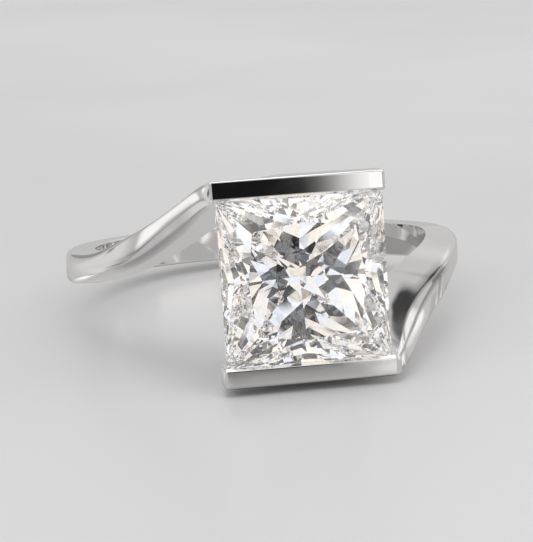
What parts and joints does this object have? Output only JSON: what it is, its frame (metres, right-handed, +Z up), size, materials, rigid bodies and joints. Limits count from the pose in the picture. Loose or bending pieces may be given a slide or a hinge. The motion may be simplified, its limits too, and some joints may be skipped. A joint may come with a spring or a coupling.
{
  "type": "bezel set ring",
  "caption": "Finger ring of polished white metal: a square princess-cut stone is held along opposite sides by straight bezel bars that sweep round into a slim plain band.",
  "frame": {"origin": "under the middle of the ring's bounding box, on the surface on which it lies on its side", "axes": "+Z is up from that surface, the stone's table faces -Y and a little upwards, and +X is to the right of a viewer who looks at the stone"},
  "size_m": [0.0196, 0.0242, 0.0092],
  "materials": {
    "white_gold": "high polish",
    "diamond": "faceted and polished, nearly colourless"
  },
  "bodies": {
    "root": {"band": "white_gold", "stone": "diamond"}
  },
  "joints": []
}
